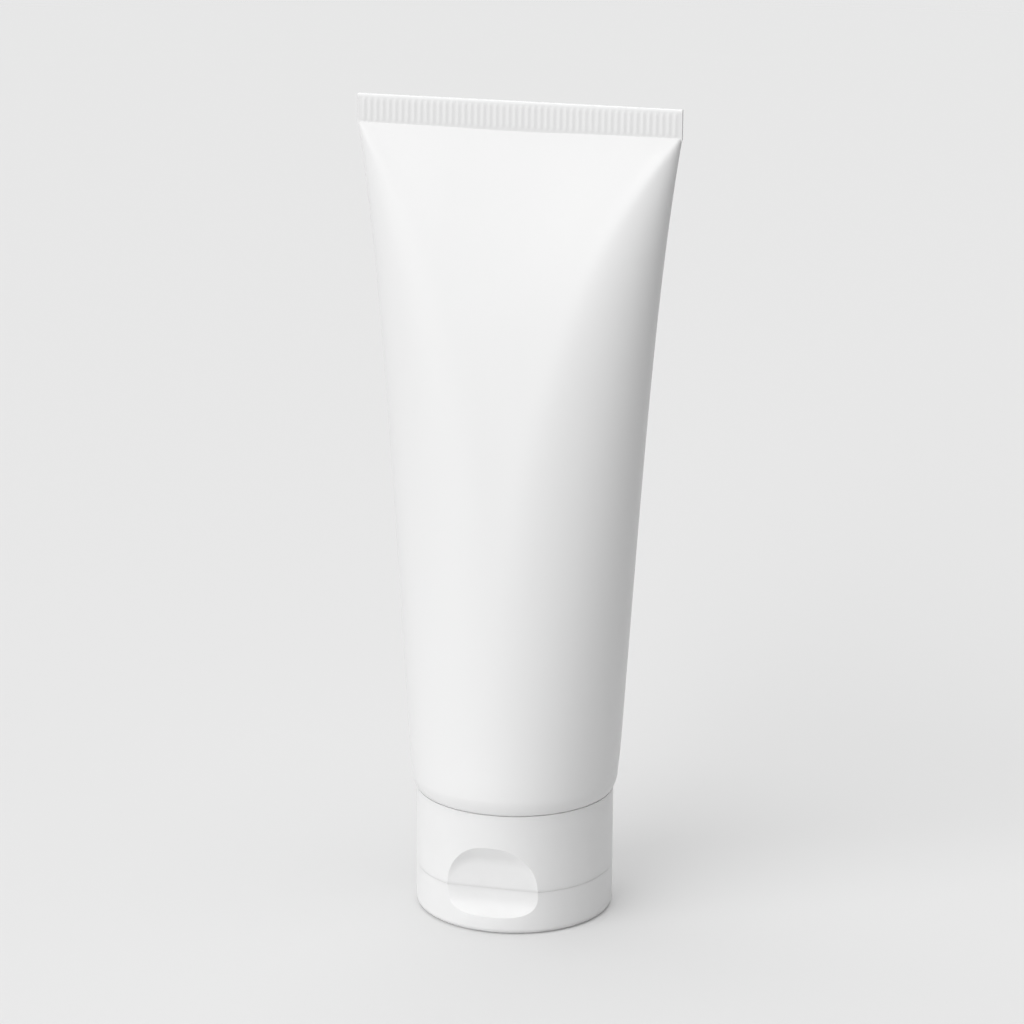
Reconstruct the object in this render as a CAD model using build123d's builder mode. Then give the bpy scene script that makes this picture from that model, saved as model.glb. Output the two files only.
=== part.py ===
from build123d import *
import os
from math import cos, pi, radians, sqrt, tan

# Skin cream tube: a soft plastic sleeve, flattened and crimped at its tail, that stands on a flip-top cap.
# The origin is the middle of the lid's flat underside. +Z runs up to the crimped tail, X runs along the
# crimp, -Y is the front with the thumb recess and +Y is the back with the hinge. Sizes are in millimetres.

# Sleeve: an extruded tube, round at its foot and pressed flat at its tail
sleeve_radius = 20.0
sleeve_wall = 0.5
sleeve_length = 128.2       # from the turned-in foot up to the lower edge of the crimp
foot_turn = 3.1             # height over which the foot turns in to the cap's radius
foot_lip = 3.65             # flat width of the turned-in lip
flat_growth = 3.2           # power by which the flat front widens towards the crimp
flare_share = 0.785         # share of the widening that is even along the sleeve
flare_growth = 5.0          # power of the rest, which comes close below the crimp
section_steps = 9           # steps from one outline to the next between the foot and the top
section_crowding = 1.3      # power that brings the outlines closer together towards the top
outline_steps = 10          # points in each quarter of an outline, closer towards the sleeve's edge
tip_distance = 1.6          # the walls are welded together this far below the crimp

# Crimp: both walls welded together under ribbed jaws
crimp_height = 5.4
crimp_squeeze = 0.9         # thickness of the weld against two walls
crimp_rib_pitch = 1.215
crimp_rib_width = 0.72
crimp_rib_height = 0.18
crimp_rib_angle = 45        # slope of the ribs' sides
crimp_rib_margin = 1.2      # plain ends of the crimp
crimp_rim = 0.6             # plain rim along both edges

# Shoulder and neck: one moulding, welded into the sleeve's foot
shoulder_thickness = 1.2
shoulder_drop = 2.6         # fall of the shoulder's cone from the lip to the neck
neck_radius = 7.5
neck_wall = 1.9
neck_bead = 0.5             # height of the bead that holds the cap
neck_bead_sides = 6
neck_bead_rise = 3.7        # from the neck's mouth up to the middle of the bead
weld_gap = 0.08

# Cap: a base that snaps on to the neck, and a lid that it carries on a film hinge
cap_inset = 0.85            # the cap is this much smaller in radius than the sleeve
cap_wall = 1.6
cap_edge = 0.15             # bevel of the cap's outer edges
lid_height = 8.5
lid_floor = 1.5
lid_foot_edge = 1.2         # rounding of the edge that the tube stands on
base_height = 15.9
deck_thickness = 1.4
parting_gap = 0.1           # between the lid's rim and the base
seam_gap = 0.2              # between the base and the sleeve's foot
mouth_gap = 0.2             # between the deck and the neck's mouth
snap_gap = 0.15             # between the neck and its socket
socket_wall = 1.5
socket_gap = 1.5            # between the socket's rim and the root of the neck
stiffener_count = 6
stiffener_thickness = 0.9
stiffener_height = 5.0

# Dispensing hole, with the plug that closes it and the ring that centres the lid
orifice_radius = 2.5
nozzle_wall = 1.6
nozzle_height = 1.5
nozzle_draft = 0.4
plug_gap = 0.3
plug_wall = 0.9
plug_reach = 1.2
plug_tip_bevel = 0.35
seat_gap = 0.3
seat_wall = 1.0
seat_depth = 1.2

# Thumb recess: a flat scoop at the front, whose floor runs out into the round cap at its sides
recess_half_width = 9.6
recess_rise = 5.7           # from the parting line up to the top of the floor
recess_corner = 7.0         # upper corners of the floor
recess_depth = 2.25
recess_slope = 3.3          # how far the top and the corners lean out over the depth
recess_blend = 3.0          # rounding between the floor and the slope
recess_lip_radius = 6.9     # hollow lip in the lid, below the parting line

# Film hinge at the back
hinge_width = 12.0
hinge_land_margin = 0.5
hinge_land_height = 2.2
hinge_land_slope = 1.2
hinge_land_proud = 0.1
film_thickness = 0.35

# Cream
cream_gap = 0.2
cream_headroom = 18.2       # from the cream's surface up to the crimp

# Derived sizes
cap_radius = sleeve_radius - cap_inset
cap_inner_radius = cap_radius - cap_wall
lid_rim = lid_height - parting_gap / 2
base_rim = lid_height + parting_gap / 2
cap_top = lid_height + base_height
foot = cap_top + seam_gap
round_start = foot + foot_turn
crimp_low = foot + sleeve_length
girth = 2 * pi * sleeve_radius
crimp_width = pi * (sleeve_radius - sleeve_wall / 2)
crimp_half = sleeve_wall * crimp_squeeze
lip_radius = cap_radius - foot_lip
deck_top = base_rim + deck_thickness
mouth = deck_top + mouth_gap
bore_radius = neck_radius - neck_wall
neck_root = foot - shoulder_drop
bead_middle = mouth + neck_bead_rise
socket_radius = neck_radius + snap_gap
plug_radius = orifice_radius - plug_gap
nozzle_tip = base_rim - nozzle_height
plug_tip = nozzle_tip + plug_reach
seat_radius = cap_inner_radius - seat_gap
land_face = cap_radius + hinge_land_proud
land_width = hinge_width + 2 * hinge_land_margin
recess_floor = cap_radius - recess_depth
recess_front = cap_radius + recess_depth


def section_sizes(height):
    """Half flat, half width of the end and half depth of the sleeve: its girth stays the same."""
    share = (height - foot) / sleeve_length
    flat = (crimp_width / 2 - crimp_half) * share ** flat_growth
    flare = flare_share * share + (1 - flare_share) * share ** flare_growth
    end = sleeve_radius + (crimp_width / 2 - sleeve_radius) * flare - flat

    # Both ends together are an ellipse, and the usual formula for its girth is solved for its depth.
    loop = (girth - 4 * flat) / pi
    lean = 6 * loop - 8 * end
    depth = (lean + sqrt(lean**2 - 24 * (6 * end**2 - 6 * loop * end + loop**2))) / 12
    return flat, end, depth


def sleeve_outline(height, flat, end, depth):
    """Closed outline of four like quarters, each a spline along a quarter ellipse and half a flat."""
    with BuildLine() as exact:
        EllipticalCenterArc((flat, 0), end, depth, 0, arc_size=90)
        if flat:
            Line((flat, depth), (0, depth))
    quarter = exact.wire()
    shares = [1 - cos(pi / 2 * step / outline_steps) for step in range(outline_steps + 1)]
    points = [quarter @ share for share in shares]
    edges = []
    for x_side, y_side in ((1, 1), (-1, 1), (-1, -1), (1, -1)):
        placed = [(x_side * point.X, y_side * point.Y, height) for point in points]
        ends = [(0, y_side * quarter.length), (-x_side * quarter.length, 0)]
        edges.append(Edge.make_spline(placed, tangents=ends, parameters=shares, scale=False))
    return Face(Wire(edges))


def foot_radius(height):
    """Outer radius of the sleeve's foot, which turns in to the cap's radius at its lower edge."""
    return sleeve_radius - cap_inset * ((round_start - height) / foot_turn) ** 2


def filled_sleeve(inset, top_outline):
    """The sleeve as one solid, set in all round, from its turned-in foot up to a last outline."""
    foot_outlines = []
    for height in (foot + inset, (foot + inset + round_start) / 2, round_start):
        radius = foot_radius(height) - inset
        foot_outlines.append(sleeve_outline(height, 0, radius, radius))
    outlines = [foot_outlines[-1]]
    for step in range(1, section_steps):
        distance = (crimp_low - round_start) * (1 - step / section_steps) ** section_crowding
        height = crimp_low - distance
        flat, end, depth = section_sizes(height)
        outlines.append(sleeve_outline(height, flat, end - inset, depth - inset))
    with BuildPart() as body:
        loft(foot_outlines)
        loft(outlines + [top_outline])
    return body.part


# Sleeve
crimp_outline = sleeve_outline(crimp_low, crimp_width / 2 - crimp_half, crimp_half, crimp_half)
tip_height = crimp_low - tip_distance
tip_flat, tip_end, tip_depth = section_sizes(tip_height)
tip_outline = sleeve_outline(tip_height, tip_flat, tip_end - sleeve_wall, tip_depth - sleeve_wall)
sleeve_outside = filled_sleeve(0, crimp_outline)
sleeve_inside = filled_sleeve(sleeve_wall, tip_outline)
with BuildPart() as tube_sleeve:
    add(sleeve_outside)
    add(sleeve_inside, mode=Mode.SUBTRACT)

    # The foot is open inside its turned-in lip.
    with BuildSketch(Plane.XY.offset(foot)):
        Circle(lip_radius)
    extrude(amount=sleeve_wall, mode=Mode.SUBTRACT)

    # The crimp is a thin plate with ribs pressed into both faces.
    extrude(crimp_outline, amount=crimp_height, dir=(0, 0, 1))
    rib_count = int((crimp_width - 2 * crimp_rib_margin) / crimp_rib_pitch) + 1
    rib_foot = crimp_rib_width + 2 * crimp_rib_height / tan(radians(crimp_rib_angle))
    with BuildSketch(Plane.XY.offset(crimp_low + crimp_rim)):
        for side, turn in ((crimp_half, 0), (-crimp_half, 180)):
            with Locations((0, side)):
                with GridLocations(crimp_rib_pitch, 0, rib_count, 1):
                    Trapezoid(rib_foot, 2 * crimp_rib_height, crimp_rib_angle, rotation=turn)
    extrude(amount=crimp_height - 2 * crimp_rim)

# Shoulder and neck
with BuildPart() as tube_head:
    shoulder_low = foot + sleeve_wall + weld_gap
    shoulder_top = shoulder_low + shoulder_thickness
    with BuildSketch(Plane.XZ):
        with BuildLine():
            Polyline(
                (neck_radius, neck_root), (lip_radius - weld_gap, foot),
                (lip_radius - weld_gap, shoulder_low),
                (foot_radius(shoulder_low) - sleeve_wall - weld_gap, shoulder_low),
                (foot_radius(shoulder_top) - sleeve_wall - weld_gap, shoulder_top),
                (lip_radius, shoulder_top), (bore_radius, shoulder_top - shoulder_drop),
                (bore_radius, mouth), (neck_radius, mouth),
                close=True,
            )
        make_face()
        with Locations((neck_radius, bead_middle)):
            RegularPolygon(neck_bead, neck_bead_sides)
    revolve(axis=Axis.Z)


def recess_outline(distance, grow, spread):
    """Front outline of the thumb recess. The spread is 0 at its floor and 1 at the cap's surface."""
    lean = grow + recess_slope * spread
    top = lid_height + recess_rise + lean
    with BuildSketch(Plane.XZ.offset(distance)) as outline:
        Rectangle(2 * (recess_half_width + lean), top, align=(Align.CENTER, Align.MIN))
        fillet(outline.vertices().group_by(Axis.Y)[-1], recess_corner + lean)
    return outline.sketch


def recess_body(grow):
    """The recess as a solid, grown all round: a flat floor with a sloping rim and a hollow lip below."""
    floor = recess_floor - grow
    with BuildPart() as scoop:
        loft([recess_outline(floor, grow, 0), recess_outline(recess_front, grow, 2)])
        rim = scoop.faces().sort_by(Axis.Y)[-1].edges().sort_by(Axis.Z)[1:]
        fillet(rim, recess_blend + grow)
        with BuildSketch(Plane.YZ):
            with BuildLine():
                lip_middle = -recess_floor - recess_lip_radius
                lip = CenterArc((lip_middle, lid_height), recess_lip_radius + grow, -90, 90)
                Polyline(lip @ 1, (-floor, cap_top), (lip_middle, cap_top), lip @ 0)
            make_face()
        extrude(amount=cap_radius, both=True, mode=Mode.INTERSECT)
    return scoop.part


# Thumb recess, as the space that is cut away and the wall that is moulded behind it
recess_space = recess_body(0)
with BuildPart() as recess_wall:
    add(recess_body(cap_wall))
    Cylinder(cap_radius - cap_edge, 2 * cap_top, mode=Mode.INTERSECT)

# Cap base
with BuildPart() as cap_base:
    with BuildSketch(Plane.XZ) as base_profile:
        with BuildLine():
            Polyline(
                (orifice_radius, base_rim), (cap_radius, base_rim), (cap_radius, cap_top),
                (cap_inner_radius, cap_top), (cap_inner_radius, deck_top), (orifice_radius, deck_top),
                close=True,
            )
        make_face()
        chamfer(base_profile.vertices().group_by(Axis.X)[-1], cap_edge)
        with Locations((socket_radius, deck_top)):
            socket_height = neck_root - socket_gap - deck_top
            Rectangle(socket_wall, socket_height, align=(Align.MIN, Align.MIN))
        with Locations((neck_radius, bead_middle)):
            RegularPolygon(neck_bead + snap_gap, neck_bead_sides, mode=Mode.SUBTRACT)
    revolve(axis=Axis.Z)

    # Stiffeners stand between the socket and the skirt.
    with BuildSketch(Plane.XY.offset(deck_top)):
        stiffener_inner = socket_radius + socket_wall / 2
        stiffener_outer = cap_inner_radius + cap_wall / 2
        with PolarLocations(0, stiffener_count):
            with Locations((stiffener_inner, 0)):
                Rectangle(
                    stiffener_outer - stiffener_inner, stiffener_thickness,
                    align=(Align.MIN, Align.CENTER),
                )
    extrude(amount=stiffener_height)

    # The skirt runs round behind the thumb recess.
    add(recess_wall.part)
    split(bisect_by=Plane.XY.offset(base_rim), keep=Keep.TOP)
    add(recess_space, mode=Mode.SUBTRACT)

    # The nozzle and the ring that centres the lid stand below the deck.
    with BuildSketch(Plane.XZ):
        with BuildLine():
            nozzle_radius = orifice_radius + nozzle_wall
            Polyline(
                (orifice_radius, nozzle_tip), (nozzle_radius - nozzle_draft, nozzle_tip),
                (nozzle_radius, base_rim), (orifice_radius, base_rim),
                close=True,
            )
        make_face()
        with Locations((seat_radius, base_rim)):
            Rectangle(seat_wall, seat_depth, align=(Align.MAX, Align.MAX))
    revolve(axis=Axis.Z)
    with Locations((0, -cap_radius, base_rim)):
        seat_cut = 2 * (recess_half_width + cap_wall + seat_gap)
        Box(
            seat_cut, 2 * cap_radius, seat_depth,
            align=(Align.CENTER, Align.CENTER, Align.MAX), mode=Mode.SUBTRACT,
        )

    # Land for the hinge film.
    with BuildSketch(Plane.YZ):
        with BuildLine():
            Polyline(
                (cap_inner_radius, base_rim), (land_face, base_rim),
                (land_face, base_rim + hinge_land_height),
                (cap_inner_radius, base_rim + hinge_land_height + hinge_land_slope),
                close=True,
            )
        make_face()
    extrude(amount=land_width / 2, both=True)

# Lid
with BuildPart() as flip_lid:
    with BuildSketch(Plane.XZ) as lid_profile:
        with BuildLine():
            Polyline(
                (0, 0), (cap_radius, 0), (cap_radius, lid_rim), (cap_inner_radius, lid_rim),
                (cap_inner_radius, lid_floor), (0, lid_floor),
                close=True,
            )
        make_face()
        outer_corners = lid_profile.vertices().group_by(Axis.X)[-1].sort_by(Axis.Y)
        fillet(outer_corners[0], lid_foot_edge)
        chamfer(lid_profile.vertices().sort_by(Axis.X).sort_by(Axis.Y)[-1], cap_edge)
    revolve(axis=Axis.Z)
    add(recess_wall.part)
    split(bisect_by=Plane.XY.offset(lid_rim), keep=Keep.BOTTOM)
    add(recess_space, mode=Mode.SUBTRACT)

    # The hollow plug that closes the dispensing hole.
    with BuildSketch(Plane.XZ) as plug_profile:
        with Locations((plug_radius, lid_floor)):
            Rectangle(plug_wall, plug_tip - lid_floor, align=(Align.MAX, Align.MIN))
        chamfer(plug_profile.vertices().group_by(Axis.Y)[-1], plug_tip_bevel)
    revolve(axis=Axis.Z)

    # Land for the hinge film.
    with BuildSketch(Plane.YZ):
        with BuildLine():
            Polyline(
                (cap_inner_radius, lid_rim), (land_face, lid_rim),
                (land_face, lid_rim - hinge_land_height),
                (cap_inner_radius, lid_rim - hinge_land_height - hinge_land_slope),
                close=True,
            )
        make_face()
    extrude(amount=land_width / 2, both=True)

# Hinge film, folded outwards while the lid is shut
with BuildPart() as hinge_film:
    with BuildSketch(Plane.YZ):
        with Locations((land_face, lid_height)):
            Circle(parting_gap / 2 + film_thickness)
            Circle(parting_gap / 2, mode=Mode.SUBTRACT)
            Rectangle(
                land_face, land_face,
                align=(Align.MAX, Align.CENTER), mode=Mode.SUBTRACT,
            )
    extrude(amount=hinge_width / 2, both=True)

# Cream, as the inside of the sleeve drawn in towards the axis
with BuildPart() as cream_fill:
    cream_floor = shoulder_top + cream_gap
    cream_share = 1 - cream_gap / (sleeve_radius - sleeve_wall)
    add(sleeve_inside)
    scale(by=(cream_share, cream_share, 1))
    split(bisect_by=Plane.XY.offset(crimp_low - cream_headroom), keep=Keep.BOTTOM)
    split(bisect_by=Plane.XY.offset(cream_floor), keep=Keep.TOP)

    # Below, it fills the shoulder's cone and the neck.
    with BuildSketch(Plane.XZ):
        with BuildLine():
            cream_bore = bore_radius - cream_gap
            Polyline(
                (0, cream_floor), (lip_radius, cream_floor), (cream_bore, cream_floor - shoulder_drop),
                (cream_bore, deck_top + cream_gap), (0, deck_top + cream_gap),
                close=True,
            )
        make_face()
    revolve(axis=Axis.Z)

os.makedirs("parts", exist_ok=True)
pieces = {
    "tube_sleeve": tube_sleeve,
    "tube_head": tube_head,
    "cap_base": cap_base,
    "flip_lid": flip_lid,
    "hinge_film": hinge_film,
    "cream_fill": cream_fill,
}
for name, piece in pieces.items():
    piece.part.label = name
    export_step(piece.part, f"parts/{name}.step")
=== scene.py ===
import math

import bmesh
import bpy
import numpy as np
from mathutils import Matrix, Vector


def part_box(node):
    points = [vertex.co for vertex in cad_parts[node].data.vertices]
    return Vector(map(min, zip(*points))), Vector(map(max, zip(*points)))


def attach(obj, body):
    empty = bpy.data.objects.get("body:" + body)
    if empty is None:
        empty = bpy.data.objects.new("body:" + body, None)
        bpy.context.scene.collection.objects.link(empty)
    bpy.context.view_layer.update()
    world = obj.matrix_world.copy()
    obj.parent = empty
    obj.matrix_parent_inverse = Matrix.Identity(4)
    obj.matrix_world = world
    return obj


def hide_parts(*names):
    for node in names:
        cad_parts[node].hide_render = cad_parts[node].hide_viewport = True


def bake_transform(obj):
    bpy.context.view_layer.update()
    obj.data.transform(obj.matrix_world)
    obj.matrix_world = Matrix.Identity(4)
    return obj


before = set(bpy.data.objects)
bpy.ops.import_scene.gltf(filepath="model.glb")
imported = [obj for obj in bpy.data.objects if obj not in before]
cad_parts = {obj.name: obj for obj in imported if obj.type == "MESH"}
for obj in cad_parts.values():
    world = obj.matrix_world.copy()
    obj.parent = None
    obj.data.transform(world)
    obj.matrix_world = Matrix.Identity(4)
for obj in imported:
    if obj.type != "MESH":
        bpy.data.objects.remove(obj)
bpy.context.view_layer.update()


# Shoulder and neck. One polyethylene moulding, welded into the sleeve's foot and hidden by the cap.
# It is natural, unpolished plastic, a little greyer than the white outside.
def moulded_plastic(name, colour, roughness, grain, depth, stretch=(1, 1, 1), milkiness=0):
    """White plastic with faint cloudy colour, uneven gloss and a fine skin, at a given grain per metre."""
    milk_depth = 0.002
    grains_per_cloud = 18
    cloud_shade = 0.985
    gloss_spread = 0.05
    material = bpy.data.materials.new(name)
    material.use_nodes = True
    nodes, links = material.node_tree.nodes, material.node_tree.links
    shader = nodes["Principled BSDF"]
    shader.inputs["Subsurface Weight"].default_value = milkiness
    shader.inputs["Subsurface Radius"].default_value = (1, 1, 1)
    shader.inputs["Subsurface Scale"].default_value = milk_depth
    place = nodes.new("ShaderNodeTexCoord")
    drawn = nodes.new("ShaderNodeMapping")
    drawn.inputs["Scale"].default_value = stretch
    links.new(place.outputs["Object"], drawn.inputs["Vector"])

    clouds = nodes.new("ShaderNodeTexNoise")
    clouds.inputs["Scale"].default_value = grain / grains_per_cloud
    clouds.inputs["Detail"].default_value = 3
    links.new(drawn.outputs["Vector"], clouds.inputs["Vector"])
    tint = nodes.new("ShaderNodeValToRGB")
    cloudy, clear = tint.color_ramp.elements
    cloudy.position = 0.3
    clear.position = 0.7
    cloudy.color = [channel * cloud_shade for channel in colour] + [1]
    clear.color = list(colour) + [1]
    links.new(clouds.outputs["Fac"], tint.inputs["Fac"])
    links.new(tint.outputs["Color"], shader.inputs["Base Color"])

    skin = nodes.new("ShaderNodeTexNoise")
    skin.inputs["Scale"].default_value = grain
    skin.inputs["Detail"].default_value = 4
    skin.inputs["Roughness"].default_value = 0.6
    links.new(drawn.outputs["Vector"], skin.inputs["Vector"])
    gloss = nodes.new("ShaderNodeMapRange")
    gloss.inputs["To Min"].default_value = roughness - gloss_spread
    gloss.inputs["To Max"].default_value = roughness + gloss_spread
    links.new(skin.outputs["Fac"], gloss.inputs["Value"])
    links.new(gloss.outputs["Result"], shader.inputs["Roughness"])
    relief = nodes.new("ShaderNodeBump")
    relief.inputs["Strength"].default_value = 0.4
    relief.inputs["Distance"].default_value = depth
    links.new(skin.outputs["Fac"], relief.inputs["Height"])
    links.new(relief.outputs["Normal"], shader.inputs["Normal"])
    return material


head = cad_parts["tube_head"]
head.data.materials.clear()
head.data.materials.append(
    moulded_plastic("natural_polyethylene", (0.80, 0.80, 0.79), roughness=0.50, grain=1400, depth=0.00002)
)

# Sleeve. An extruded tube of soft white polyethylene, turned in over the shoulder at its foot and pressed
# flat at its tail. The girth stays the same from foot to tail, so the front flattens as the sides flare out,
# and the pressing leaves a slight hollow and two soft creases that run down from the corners of the tail.
sleeve_low, sleeve_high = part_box("tube_sleeve")
cap_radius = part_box("cap_base")[1].x
sleeve_radius = 0.020
sleeve_wall = 0.0005
seam_drop = 0.00035
foot = sleeve_low.z - seam_drop
foot_turn = 0.0031
foot_edge = 0.0002
foot_rings = 9
round_start = foot + foot_turn
lip_radius = 0.0155
crimp_height = 0.0054
crimp_half = 0.00045
crimp_low = sleeve_high.z - crimp_height
half_width = sleeve_high.x
quarter_columns = 40
arc_points = 97
straight_points = 32
flat_power = 3.2
flare_even = 0.785
flare_late = 0.215
flare_power = 5
ease_length = 0.0045
hollow_depth = 0.0004
hollow_height = 0.141
hollow_reach = 0.024
hollow_border = 0.001
crease_height = 0.00025
crease_width = 0.0014
crease_length = 0.045
crease_start = 0.004


def sleeve_section(height, inset):
    """Quarter outline of the sleeve at a height: x and y along it, and the share of its length."""
    share = (height - foot) / (crimp_low - foot)
    ease = min(max((height - round_start) / ease_length, 0), 1)
    ease = ease * ease * (3 - 2 * ease)
    flat = (half_width - crimp_half) * share ** flat_power
    flare = flare_even * share + flare_late * share ** flare_power
    end = sleeve_radius + (half_width - sleeve_radius) * flare * ease - flat
    # Half ellipses at both ends take up the rest of the girth: Ramanujan's formula, solved for the depth.
    loop = 2 * sleeve_radius - 4 * flat / math.pi
    lean = 6 * loop - 8 * end
    depth = (lean + math.sqrt(lean ** 2 - 24 * (6 * end ** 2 - 6 * loop * end + loop ** 2))) / 12
    depth = max(depth, crimp_half)
    turn = np.linspace(0, math.pi / 2, arc_points)
    x = np.append(flat + (end - inset) * np.cos(turn), np.linspace(flat, 0, straight_points + 1)[1:])
    y = np.append((depth - inset) * np.sin(turn), np.full(straight_points, depth - inset))
    away = max(0, 1 - ((height - hollow_height) / hollow_reach) ** 2) ** 2
    inward = np.clip(1 - (x / (flat + hollow_border)) ** 2, 0, 1) ** 2
    y -= hollow_depth * away * inward * np.sign(y)
    below_tail = crimp_low - height
    near_tail = max(0, 1 - below_tail / crease_length) ** 2 * min(1, below_tail / crease_start)
    ridge = np.exp(-((x - flat) / crease_width) ** 2)
    y += crease_height * near_tail * ridge * np.sign(y)
    run = np.append(0, np.cumsum(np.hypot(np.diff(x), np.diff(y))))
    return x, y, run / run[-1]


def foot_section(radius):
    """Quarter circle of the sleeve's foot, in the same form."""
    turn = np.linspace(0, math.pi / 2, arc_points)
    return radius * np.cos(turn), radius * np.sin(turn), turn / turn[-1]


def move_ring(verts, turn_layer, height, section):
    """Sets a ring of vertices on an outline of the sleeve at a height."""
    x, y, run = section
    for vert in verts:
        quarter, step = divmod(round(vert[turn_layer]), quarter_columns)
        if quarter % 2:
            step = quarter_columns - step
        along = 1 - math.cos(math.pi / 2 * step / quarter_columns)
        side = 1 if quarter in (0, 3) else -1
        front = 1 if quarter in (0, 1) else -1
        vert.co = (side * np.interp(along, run, x), front * np.interp(along, run, y), height)


def draw_skin(inset, top, rings):
    """Extrudes one skin of the sleeve's wall upwards from the edge of the hole in its foot."""
    low = foot + inset
    places = [(low, foot_section(lip_radius))]
    for height in np.linspace(low + foot_edge, round_start, foot_rings):
        turned_in = ((round_start - height) / foot_turn) ** 2
        radius = sleeve_radius - (sleeve_radius - cap_radius) * turned_in - inset
        if len(places) == 1:
            places.append((low, foot_section(radius - foot_edge)))
        places.append((height, foot_section(radius)))
    for step in range(1, rings + 1):
        height = round_start + (top - round_start) * math.sin(math.pi / 2 * step / rings)
        places.append((height, sleeve_section(height, inset)))

    skin = bmesh.new()
    turn_layer = skin.verts.layers.float.new("turn")
    verts = bmesh.ops.create_circle(skin, segments=4 * quarter_columns, radius=lip_radius)["verts"]
    for column, vert in enumerate(verts):
        vert[turn_layer] = column
    edges = list(skin.edges)
    move_ring(verts, turn_layer, *places[0])
    for place in places[1:]:
        grown = bmesh.ops.extrude_edge_only(skin, edges=edges)["geom"]
        edges = [part for part in grown if isinstance(part, bmesh.types.BMEdge)]
        verts = [part for part in grown if isinstance(part, bmesh.types.BMVert)]
        move_ring(verts, turn_layer, *place)
    bmesh.ops.contextual_create(skin, geom=edges)
    mesh = bpy.data.meshes.new("sleeve_skin")
    skin.to_mesh(mesh)
    skin.free()
    return mesh


weld_distance = 0.0016
wall = bmesh.new()
wall.from_mesh(draw_skin(inset=0, top=crimp_low, rings=56))
wall.from_mesh(draw_skin(inset=sleeve_wall, top=crimp_low - weld_distance, rings=36))
bmesh.ops.bridge_loops(wall, edges=[edge for edge in wall.edges if edge.is_boundary])
bmesh.ops.recalc_face_normals(wall, faces=wall.faces)
sleeve_mesh = bpy.data.meshes.new("squeeze_sleeve")
wall.to_mesh(sleeve_mesh)
wall.free()

# Crimped tail. Both walls of the sleeve are welded under hot ribbed jaws, which leaves upright ribs on both
# faces, plain ends and a thin plain rim along the cut edge.
rib_pitch = 0.001215
rib_count = 50
rib_height = 0.00008
rib_sharpness = 1.2
rib_columns = 10
rib_fade = 0.0006
fade_levels = 4
plain_height = 0.0003
rim_height = 0.0006
cut_edge = 0.00012
tail_overlap = 0.0004
crisp_angle = math.radians(50)
ribs_width = rib_pitch * rib_count
ribs_low = crimp_low + plain_height
ribs_high = sleeve_high.z - rim_height
tail = bmesh.new()
bmesh.ops.create_cube(tail, size=1)
bmesh.ops.scale(tail, vec=(ribs_width, 2 * crimp_half, crimp_height + tail_overlap), verts=tail.verts)
bmesh.ops.translate(tail, vec=(0, 0, crimp_low + (crimp_height - tail_overlap) / 2), verts=tail.verts)
long_edges = [edge for edge in tail.edges if abs(edge.verts[0].co.x - edge.verts[1].co.x) > rib_pitch]
bmesh.ops.subdivide_edges(tail, edges=long_edges, cuts=rib_count * rib_columns - 1, use_grid_fill=True)
steps = np.linspace(0, rib_fade, fade_levels)
for level in [*(ribs_low + steps), *(ribs_high - steps), sleeve_high.z - cut_edge]:
    every = list(tail.verts) + list(tail.edges) + list(tail.faces)
    bmesh.ops.bisect_plane(tail, geom=every, dist=1e-7, plane_co=(0, 0, level), plane_no=(0, 0, 1))
for vert in tail.verts:
    phase = (vert.co.x / rib_pitch + rib_count / 2) % 1
    inside = min(vert.co.z - ribs_low, ribs_high - vert.co.z) / rib_fade
    rise = rib_height * math.sin(math.pi / 2 * min(max(inside, 0), 1))
    side = math.copysign(1, vert.co.y)
    vert.co.y += side * rise * (0.5 - 0.5 * math.cos(2 * math.pi * phase)) ** rib_sharpness
    if vert.co.z > sleeve_high.z - cut_edge / 2:
        vert.co.y -= side * cut_edge
ends = [face for face in tail.faces if abs(abs(face.calc_center_median().x) - ribs_width / 2) < 1e-6]
grown = bmesh.ops.extrude_face_region(tail, geom=ends)["geom"]
bmesh.ops.delete(tail, geom=ends, context="FACES")
for vert in [part for part in grown if isinstance(part, bmesh.types.BMVert)]:
    vert.co.x = math.copysign(half_width, vert.co.x)
bmesh.ops.recalc_face_normals(tail, faces=tail.faces)
tail.from_mesh(sleeve_mesh)
for face in tail.faces:
    face.smooth = True
for edge in tail.edges:
    edge.smooth = edge.calc_face_angle(0) < crisp_angle
tail.to_mesh(sleeve_mesh)
tail.free()

sleeve = bpy.data.objects.new("squeeze_sleeve", sleeve_mesh)
bpy.context.scene.collection.objects.link(sleeve)
satin_white = moulded_plastic(
    "satin_white_sleeve", (0.86, 0.86, 0.86), roughness=0.42, grain=900, depth=0.000012, stretch=(1, 1, 0.15)
)
sleeve_mesh.materials.append(satin_white)
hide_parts("tube_sleeve")
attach(sleeve, "tube")

# Cream. A soft white emulsion that fills the neck, the shoulder and most of the sleeve. It is filled in
# through the open tail, and some room is left below the weld.
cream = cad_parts["cream_fill"]
cream.data.materials.clear()
cream.data.materials.append(
    moulded_plastic("moist_cream", (0.90, 0.88, 0.84), roughness=0.25, grain=300, depth=0.00008)
)


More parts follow.
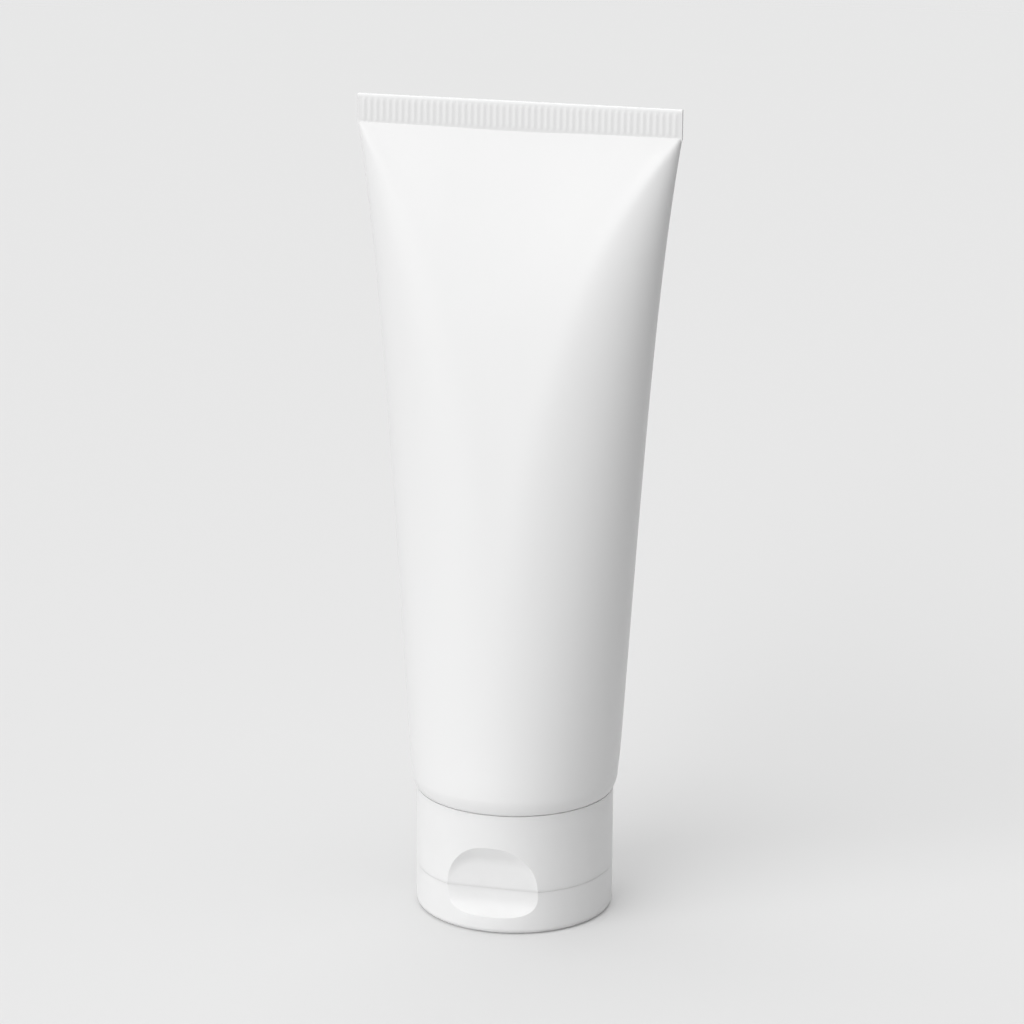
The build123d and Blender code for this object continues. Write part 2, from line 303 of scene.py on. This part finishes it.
# Cap base. The fixed part of the flip-top cap, moulded in white polypropylene with its deck, nozzle and
# thumb recess, and snapped on to the neck. Its fine sparked skin is as satin as the sleeve, but milkier.
def moulded_copy(node, name, material):
    """Copy of a rigid piece with its facets joined: walls shade smoothly and edges stay crisp."""
    edge_angle = math.radians(18)
    joined = bmesh.new()
    joined.from_mesh(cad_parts[node].data)
    bmesh.ops.remove_doubles(joined, verts=joined.verts, dist=1e-6)
    for face in joined.faces:
        face.smooth = True
        face.material_index = 0
    for edge in joined.edges:
        edge.smooth = edge.calc_face_angle(0) < edge_angle
    mesh = bpy.data.meshes.new(name)
    joined.to_mesh(mesh)
    joined.free()
    if "custom_normal" in mesh.attributes:
        mesh.attributes.remove(mesh.attributes["custom_normal"])
    mesh.materials.append(material)
    piece = bpy.data.objects.new(name, mesh)
    bpy.context.scene.collection.objects.link(piece)
    weighted = piece.modifiers.new("even_shading", "WEIGHTED_NORMAL")
    weighted.keep_sharp = True
    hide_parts(node)
    return piece


def draw_rim(piece, rim, height):
    """Draws a rim with its small chamfer up to a height, as the crisp edge that the photograph shows."""
    for vert in piece.data.vertices:
        if abs(vert.co.z - rim) < rim_band and vert.co.xy.length > rim_inside:
            outer = vert.co.xy.length > cap_radius - skin_reach
            vert.co.z = height + math.copysign(rim_edge, vert.co.z - rim) * outer


rim_inside = 0.0165
rim_band = 0.0002
rim_edge = 0.000006
skin_reach = 0.00002
seam_gap = 0.00014
base_rim = 0.00855
cap_plastic = moulded_plastic(
    "satin_white_cap", (0.86, 0.86, 0.86), roughness=0.42, grain=2600, depth=0.00001, milkiness=0.25
)
base = moulded_copy("cap_base", "cap_base_moulding", cap_plastic)
draw_rim(base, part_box("cap_base")[1].z, foot - seam_gap)
draw_rim(base, base_rim, base_rim)
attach(base, "tube")

# Lid. The lower part of the same moulding, on which the tube stands, with the hollow plug inside. The flat
# floor of the thumb recess runs on below the parting line and turns out to the front in a lip.
lid = moulded_copy("flip_lid", "flip_lid_moulding", cap_plastic)
lid_rim = 0.00845
lid_gap = 0.00002
recess_floor = 0.0169
lip_built = 0.0069
lip_power = 3.4
rim_clearance = 0.00001
parting = (lid_rim + base_rim) / 2
lip_middle = -recess_floor - lip_built
lip_depth = math.sqrt(lip_built ** 2 - (cap_radius + lip_middle) ** 2)
for vert in lid.data.vertices:
    from_middle = math.hypot(vert.co.y - lip_middle, vert.co.z - parting)
    if abs(from_middle - lip_built) < skin_reach and vert.co.z < lid_rim - rim_clearance:
        across = (cap_radius ** 2 - vert.co.y ** 2) / (cap_radius ** 2 - recess_floor ** 2)
        across = min(max(across, 0), 1) ** (lip_power / 2)
        vert.co.z = parting - lip_depth * (1 - across) ** (1 / lip_power)
draw_rim(lid, lid_rim, base_rim - lid_gap)
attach(lid, "lid")

# Hinge film. A strip of the same polypropylene, thin enough to fold, that joins base and lid at the back. It
# is moulded in one shot with both, and bulges out as half a ring between their lands while the lid is shut.
film_low, film_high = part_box("hinge_film")
film_middle = (film_low.z + film_high.z) / 2
film_radius = (film_high.z - film_low.z) / 2
film_thickness = 0.00035
film = bmesh.new()
corners = [
    film.verts.new((film_low.x, film_low.y, film_middle - radius))
    for radius in (film_radius - film_thickness, film_radius)
]
film.edges.new(corners)
bmesh.ops.spin(
    film, geom=list(film.verts) + list(film.edges), cent=(film_low.x, film_low.y, film_middle),
    axis=(1, 0, 0), angle=math.pi, steps=16,
)
grown = bmesh.ops.extrude_face_region(film, geom=list(film.faces))["geom"]
for vert in [part for part in grown if isinstance(part, bmesh.types.BMVert)]:
    vert.co.x = film_high.x
bmesh.ops.recalc_face_normals(film, faces=film.faces)
film_mesh = bpy.data.meshes.new("hinge_strip")
film.to_mesh(film_mesh)
film.free()
film_mesh.materials.append(cap_plastic)
strip = bpy.data.objects.new("hinge_strip", film_mesh)
bpy.context.scene.collection.objects.link(strip)
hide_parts("hinge_film")
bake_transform(strip)


# Light. A large soft lamp on the left in front, a softbox overhead, weak lamps on the right and behind,
# and a pale room that fills the shadows.
def soft_lamp(name, strength, spread, azimuth, height):
    """Adds a far, soft lamp, with angles in degrees, and returns the light that it gives the open floor."""
    lamp = bpy.data.lights.new(name, "SUN")
    lamp.energy = strength * math.pi
    lamp.angle = math.radians(spread)
    holder = bpy.data.objects.new(name, lamp)
    bpy.context.scene.collection.objects.link(holder)
    holder.rotation_euler = (math.pi / 2 - math.radians(height), 0, math.radians(azimuth))
    return strength * math.sin(math.radians(height))


def looking_rays(nodes, links):
    """Socket that is 1 for the rays that show the background, straight or in a reflection."""
    ray = nodes.new("ShaderNodeLightPath")
    straight = nodes.new("ShaderNodeMath")
    straight.operation = "MAXIMUM"
    links.new(ray.outputs["Is Camera Ray"], straight.inputs[0])
    links.new(ray.outputs["Is Glossy Ray"], straight.inputs[1])
    through = nodes.new("ShaderNodeMath")
    through.operation = "MAXIMUM"
    links.new(straight.outputs["Value"], through.inputs[0])
    links.new(ray.outputs["Is Transmission Ray"], through.inputs[1])
    return through.outputs["Value"]


pale = 0.80
fill_strength = 0.225
view_azimuth = 14.45
floor_light = fill_strength
floor_light += soft_lamp("key_lamp", strength=0.63, spread=58, azimuth=view_azimuth - 45, height=21)
floor_light += soft_lamp("softbox", strength=0.53, spread=60, azimuth=0, height=90)
floor_light += soft_lamp("side_lamp", strength=0.045, spread=60, azimuth=view_azimuth + 75, height=15)
floor_light += soft_lamp("rear_lamp", strength=0.15, spread=80, azimuth=view_azimuth - 160, height=35)
room = bpy.data.worlds.new("pale_room")
bpy.context.scene.world = room
room.use_nodes = True
nodes, links = room.node_tree.nodes, room.node_tree.links
nodes.clear()
output = nodes.new("ShaderNodeOutputWorld")
fill = nodes.new("ShaderNodeBackground")
fill.inputs["Color"].default_value = (1, 1, 1, 1)
fill.inputs["Strength"].default_value = fill_strength
backdrop = nodes.new("ShaderNodeBackground")
backdrop.inputs["Color"].default_value = (pale, pale, pale, 1)
choose = nodes.new("ShaderNodeMixShader")
links.new(looking_rays(nodes, links), choose.inputs["Fac"])
links.new(fill.outputs["Background"], choose.inputs[1])
links.new(backdrop.outputs["Background"], choose.inputs[2])
links.new(choose.outputs["Shader"], output.inputs["Surface"])

# Floor. A plain pale studio table that takes the tube's soft shadow and runs out into the background. Seen
# by the camera it glows a little, so that the shadow on it stays as light as in a bright studio. To all
# other rays it is painted white near the tube and greyer farther off.
table_radius = 2.5
table_white = 0.62
table_far = 0.32
shadow_depth = 0.66
floor = bmesh.new()
bmesh.ops.create_circle(floor, cap_ends=True, segments=128, radius=table_radius)
floor_mesh = bpy.data.meshes.new("floor")
floor.to_mesh(floor_mesh)
floor.free()
table = bpy.data.objects.new("floor", floor_mesh)
bpy.context.scene.collection.objects.link(table)
matt_white = bpy.data.materials.new("matt_white_table")
matt_white.use_nodes = True
nodes, links = matt_white.node_tree.nodes, matt_white.node_tree.links
nodes.clear()
surface = nodes.new("ShaderNodeOutputMaterial")
place = nodes.new("ShaderNodeTexCoord")
distance = nodes.new("ShaderNodeVectorMath")
distance.operation = "LENGTH"
links.new(place.outputs["Object"], distance.inputs[0])
paint = nodes.new("ShaderNodeMapRange")
paint.inputs["From Min"].default_value = 0.05
paint.inputs["From Max"].default_value = 0.35
paint.inputs["To Min"].default_value = table_white
paint.inputs["To Max"].default_value = table_far
links.new(distance.outputs["Value"], paint.inputs["Value"])
painted = nodes.new("ShaderNodeBsdfDiffuse")
links.new(paint.outputs["Result"], painted.inputs["Color"])
shaded = nodes.new("ShaderNodeBsdfDiffuse")
shaded.inputs["Color"].default_value = (shadow_depth, shadow_depth, shadow_depth, 1)
glow = nodes.new("ShaderNodeEmission")
glow.inputs["Strength"].default_value = pale - shadow_depth * floor_light
bright = nodes.new("ShaderNodeAddShader")
links.new(shaded.outputs["BSDF"], bright.inputs[0])
links.new(glow.outputs["Emission"], bright.inputs[1])
seen = nodes.new("ShaderNodeMixShader")
links.new(looking_rays(nodes, links), seen.inputs["Fac"])
links.new(painted.outputs["BSDF"], seen.inputs[1])
links.new(bright.outputs["Shader"], seen.inputs[2])
outwards = nodes.new("ShaderNodeMapRange")
outwards.interpolation_type = "SMOOTHSTEP"
outwards.inputs["From Min"].default_value = 0.4
outwards.inputs["From Max"].default_value = 1.6
links.new(distance.outputs["Value"], outwards.inputs["Value"])
clear = nodes.new("ShaderNodeBsdfTransparent")
fade = nodes.new("ShaderNodeMixShader")
links.new(outwards.outputs["Result"], fade.inputs["Fac"])
links.new(seen.outputs["Shader"], fade.inputs[1])
links.new(clear.outputs["BSDF"], fade.inputs[2])
links.new(fade.outputs["Shader"], surface.inputs["Surface"])
floor_mesh.materials.append(matt_white)

# Camera. A long lens a little above the tube and to its right, as in the photograph. Its angles, its
# distance and its focal length are those of the camera that was fitted to the photograph.
azimuth = math.radians(view_azimuth)
elevation = math.radians(16.28)
roll = math.radians(0.316)
camera_distance = 0.750
aim_height = 0.07895
aim_left = 0.000871
focal_pixels = 3930
picture_pixels = 1024
right = Vector((math.cos(azimuth), math.sin(azimuth), 0))
level_back = Vector((math.sin(azimuth), -math.cos(azimuth), 0))
back = level_back * math.cos(elevation) + Vector((0, 0, math.sin(elevation)))
lens = bpy.data.cameras.new("camera")
lens.sensor_fit = "HORIZONTAL"
lens.sensor_width = 36
lens.lens = lens.sensor_width * focal_pixels / picture_pixels
lens.clip_start = 0.01
lens.clip_end = 20
camera = bpy.data.objects.new("camera", lens)
bpy.context.scene.collection.objects.link(camera)
turned = back.to_track_quat("Z", "Y").to_matrix().to_4x4() @ Matrix.Rotation(roll, 4, "Z")
stand = Vector((0, 0, aim_height)) - aim_left * right + camera_distance * back
camera.matrix_world = Matrix.Translation(stand) @ turned
bpy.context.scene.camera = camera
bpy.context.scene.view_settings.view_transform = "Standard"
